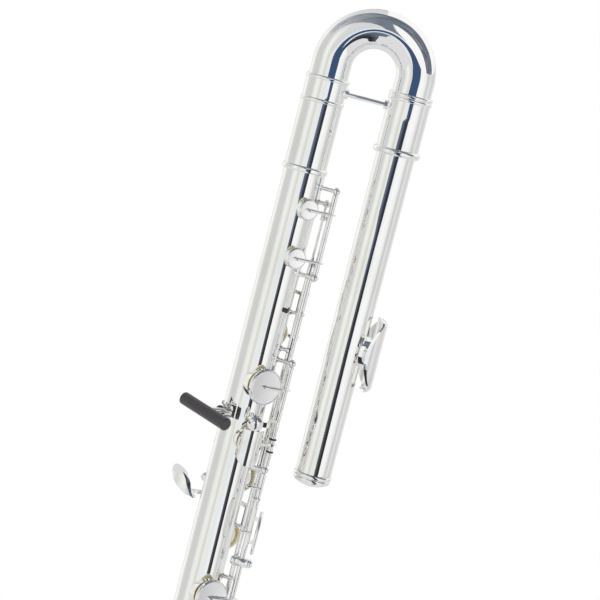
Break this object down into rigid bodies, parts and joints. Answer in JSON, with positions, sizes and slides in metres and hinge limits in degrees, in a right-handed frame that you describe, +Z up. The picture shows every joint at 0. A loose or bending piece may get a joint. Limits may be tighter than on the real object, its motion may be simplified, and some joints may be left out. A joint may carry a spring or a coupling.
{
  "type": "bass flute",
  "caption": "Silver-plated bass flute with a bent-back head joint, lip plate, hand crutch, sprung padded keys on posts and rods, and a foot joint.",
  "frame": {"origin": "centre of the foot end, on the body tube axis", "axes": "+Z up the body tube to the crook, +X from the body tube to the head tube, -Y the front side where the finger plates show"},
  "size_m": [0.1495, 0.0898, 0.9383],
  "materials": {
    "silver": "bright silver plate over drawn brass tube",
    "silver_lip": "hand-polished solid silver",
    "steel": "ground steel rod and blued wire",
    "nickel_screw": "bright nickel plate",
    "pad_skin": "thin golden skin over felt",
    "cork": "natural cork",
    "black_grip": "fine-grained matt black"
  },
  "bodies": {
    "body_joint": {"body_tube": "silver", "barrel_sleeve": "silver", "rib_straps": "silver", "key_posts": "silver", "hinge_rods": "steel", "needle_springs": "steel", "crutch_saddle": "silver", "crutch_screw": "nickel_screw"},
    "crutch": {"crutch_post": "silver", "crutch_grip": "black_grip"},
    "crook": {"crook_tube": "silver", "crook_tenon": "silver", "crook_head_leg": "silver", "crook_body_sleeve": "silver", "head_socket_sleeve": "silver", "crook_brace": "silver"},
    "head": {"head_tube": "silver", "lip_riser": "silver", "lip_plate": "silver_lip"},
    "stopper": {"stopper_cork": "cork", "stopper_screw": "silver"},
    "crown": {"crown": "silver_lip"},
    "foot": {"foot_tube": "silver", "foot_posts": "silver", "foot_springs": "steel"},
    "dsharp_trill_key": {"dsharp_trill_key": "silver", "dsharp_trill_pad": "pad_skin"},
    "d_trill_key": {"d_trill_key": "silver", "d_trill_pad": "pad_skin"},
    "dsharp_trill_lever": {"dsharp_trill_lever": "silver"},
    "d_trill_lever": {"d_trill_lever": "silver"},
    "index_lever": {"index_lever": "silver"},
    "csharp_key": {"csharp_key": "silver", "csharp_pad": "pad_skin"},
    "thumb_key": {"thumb_key": "silver", "thumb_pad": "pad_skin"},
    "thumb_bflat_lever": {"thumb_bflat_lever": "silver"},
    "b_key": {"b_key": "silver", "b_pad": "pad_skin"},
    "bflat_key": {"bflat_key": "silver", "bflat_pad": "pad_skin"},
    "a_key": {"a_key": "silver", "a_pad": "pad_skin"},
    "gsharp_key": {"gsharp_key": "silver", "gsharp_pad": "pad_skin"},
    "g_key": {"g_key": "silver", "g_pad": "pad_skin"},
    "fsharp_key": {"fsharp_key": "silver", "fsharp_pad": "pad_skin"},
    "f_key": {"f_key": "silver", "f_pad": "pad_skin"},
    "e_key": {"e_key": "silver", "e_pad": "pad_skin"},
    "eflat_key": {"eflat_key": "silver", "eflat_pad": "pad_skin"},
    "low_csharp_key": {"low_csharp_key": "silver", "low_csharp_pad": "pad_skin"},
    "low_c_key": {"low_c_key": "silver", "low_c_pad": "pad_skin"},
    "touch_roller": {"touch_roller": "silver"}
  },
  "joints": [
    {"name": "crook_turn", "type": "hinge", "parent": "body_joint", "child": "crook", "pos_m": [0, 0, 0.853], "axis": [0, 0, 1], "range_deg": [-15, 15]},
    {"name": "head_slide", "type": "slide", "parent": "crook", "child": "head", "axis": [0, 0, -1], "range_m": [0, 0.012]},
    {"name": "crown_turn", "type": "hinge", "parent": "head", "child": "crown", "pos_m": [0.0687, 0, 0.558], "axis": [0, 0, 1], "range_deg": [-360, 360]},
    {"name": "stopper_draw", "type": "slide", "parent": "head", "child": "stopper", "axis": [0, 0, 1], "range_m": [-0.0008, 0.0008]},
    {"name": "foot_turn", "type": "hinge", "parent": "body_joint", "child": "foot", "pos_m": [0, 0, 0.25], "axis": [0, 0, 1], "range_deg": [-20, 10]},
    {"name": "crutch_swivel", "type": "hinge", "parent": "body_joint", "child": "crutch", "pos_m": [-0.0157, -0.01626, 0.59], "axis": [-0.6947, -0.7193, 0], "range_deg": [-20, 20]},
    {"name": "dsharp_trill_turn", "type": "hinge", "parent": "body_joint", "child": "dsharp_trill_key", "pos_m": [0.02957, -0.00748, 0.768], "axis": [0, 0, 1], "range_deg": [0, 6], "stiffness_Nm_per_rad": 0.02, "springref_deg": -1.5},
    {"name": "d_trill_turn", "type": "hinge", "parent": "body_joint", "child": "d_trill_key", "pos_m": [0.02957, -0.00748, 0.7275], "axis": [0, 0, 1], "range_deg": [0, 6], "stiffness_Nm_per_rad": 0.02, "springref_deg": -1.5},
    {"name": "dsharp_trill_press", "type": "hinge", "parent": "body_joint", "child": "dsharp_trill_lever", "pos_m": [0.02438, -0.00102, 0.3], "axis": [0, 0, 1], "range_deg": [-6, 0], "stiffness_Nm_per_rad": 0.02, "springref_deg": 1.5},
    {"name": "d_trill_press", "type": "hinge", "parent": "body_joint", "child": "d_trill_lever", "pos_m": [0.02438, -0.00102, 0.36], "axis": [0, 0, 1], "range_deg": [-6, 0], "stiffness_Nm_per_rad": 0.02, "springref_deg": 1.5},
    {"name": "index_press", "type": "hinge", "parent": "body_joint", "child": "index_lever", "pos_m": [0.02957, -0.00748, 0.582], "axis": [0, 0, 1], "range_deg": [-7.4, 0], "stiffness_Nm_per_rad": 0.02, "springref_deg": 1.5},
    {"name": "csharp_close", "type": "hinge", "parent": "body_joint", "child": "csharp_key", "pos_m": [0.02636, 0.00672, 0.697], "axis": [0, 0, 1], "range_deg": [0, 7.4], "stiffness_Nm_per_rad": 0.02, "springref_deg": -1.5},
    {"name": "thumb_press", "type": "hinge", "parent": "body_joint", "child": "thumb_key", "pos_m": [0.02636, 0.00672, 0.66], "axis": [0, 0, 1], "range_deg": [0, 7.4], "stiffness_Nm_per_rad": 0.02, "springref_deg": -1.5},
    {"name": "thumb_bflat_press", "type": "hinge", "parent": "body_joint", "child": "thumb_bflat_lever", "pos_m": [-0.00982, 0.02558, 0.573], "axis": [0, 0, 1], "range_deg": [0, 4], "stiffness_Nm_per_rad": 0.02, "springref_deg": -1.5},
    {"name": "b_press", "type": "hinge", "parent": "body_joint", "child": "b_key", "pos_m": [0.02957, -0.00748, 0.62], "axis": [0, 0, 1], "range_deg": [-7.4, 0], "stiffness_Nm_per_rad": 0.02, "springref_deg": 1.5},
    {"name": "bflat_press", "type": "hinge", "parent": "body_joint", "child": "bflat_key", "pos_m": [0.02957, -0.00748, 0.573], "axis": [0, 0, 1], "range_deg": [-7.4, 0], "stiffness_Nm_per_rad": 0.02, "springref_deg": 1.5},
    {"name": "g_press", "type": "hinge", "parent": "body_joint", "child": "g_key", "pos_m": [0.02957, -0.00748, 0.44], "axis": [0, 0, 1], "range_deg": [-7.4, 0], "stiffness_Nm_per_rad": 0.02, "springref_deg": 1.5},
    {"name": "fsharp_press", "type": "hinge", "parent": "body_joint", "child": "fsharp_key", "pos_m": [0.02957, -0.00748, 0.387], "axis": [0, 0, 1], "range_deg": [-7.4, 0], "stiffness_Nm_per_rad": 0.02, "springref_deg": 1.5},
    {"name": "f_press", "type": "hinge", "parent": "body_joint", "child": "f_key", "pos_m": [0.02957, -0.00748, 0.331], "axis": [0, 0, 1], "range_deg": [-7.4, 0], "stiffness_Nm_per_rad": 0.02, "springref_deg": 1.5},
    {"name": "e_press", "type": "hinge", "parent": "body_joint", "child": "e_key", "pos_m": [0.02957, -0.00748, 0.272], "axis": [0, 0, 1], "range_deg": [-7.4, 0], "stiffness_Nm_per_rad": 0.02, "springref_deg": 1.5},
    {"name": "a_press", "type": "hinge", "parent": "body_joint", "child": "a_key", "pos_m": [-0.00982, 0.02558, 0.537], "axis": [0, 0, 1], "range_deg": [-7.4, 0], "stiffness_Nm_per_rad": 0.02, "springref_deg": 1.5},
    {"name": "gsharp_press", "type": "hinge", "parent": "body_joint", "child": "gsharp_key", "pos_m": [-0.00982, 0.02558, 0.487], "axis": [0, 0, 1], "range_deg": [0, 7], "stiffness_Nm_per_rad": 0.02, "springref_deg": -1.5},
    {"name": "eflat_press", "type": "hinge", "parent": "foot", "child": "eflat_key", "pos_m": [0.02957, -0.00748, 0.207], "axis": [0, 0, 1], "range_deg": [0, 7], "stiffness_Nm_per_rad": 0.02, "springref_deg": -1.5},
    {"name": "low_csharp_press", "type": "hinge", "parent": "foot", "child": "low_csharp_key", "pos_m": [0.02957, -0.00748, 0.144], "axis": [0, 0, 1], "range_deg": [-7.4, 0], "stiffness_Nm_per_rad": 0.02, "springref_deg": 1.5},
    {"name": "low_c_press", "type": "hinge", "parent": "foot", "child": "low_c_key", "pos_m": [0.02957, -0.00748, 0.074], "axis": [0, 0, 1], "range_deg": [-7.4, 0], "stiffness_Nm_per_rad": 0.02, "springref_deg": 1.5},
    {"name": "roller_spin", "type": "hinge", "parent": "low_c_key", "child": "touch_roller", "pos_m": [0.01454, -0.0356, 0.182], "axis": [0, 0, 1], "continuous": true}
  ],
  "couplings": [
    {"joint": "dsharp_trill_turn", "follows": "dsharp_trill_press", "ratio": -1},
    {"joint": "d_trill_turn", "follows": "d_trill_press", "ratio": -1},
    {"joint": "csharp_close", "follows": "index_press", "ratio": -1},
    {"joint": "b_press", "follows": "bflat_press", "ratio": 1},
    {"joint": "a_press", "follows": "g_press", "ratio": 1},
    {"joint": "fsharp_press", "follows": "f_press", "ratio": 1},
    {"joint": "crown_turn", "follows": "stopper_draw", "rad_per_m": 7854}
  ]
}
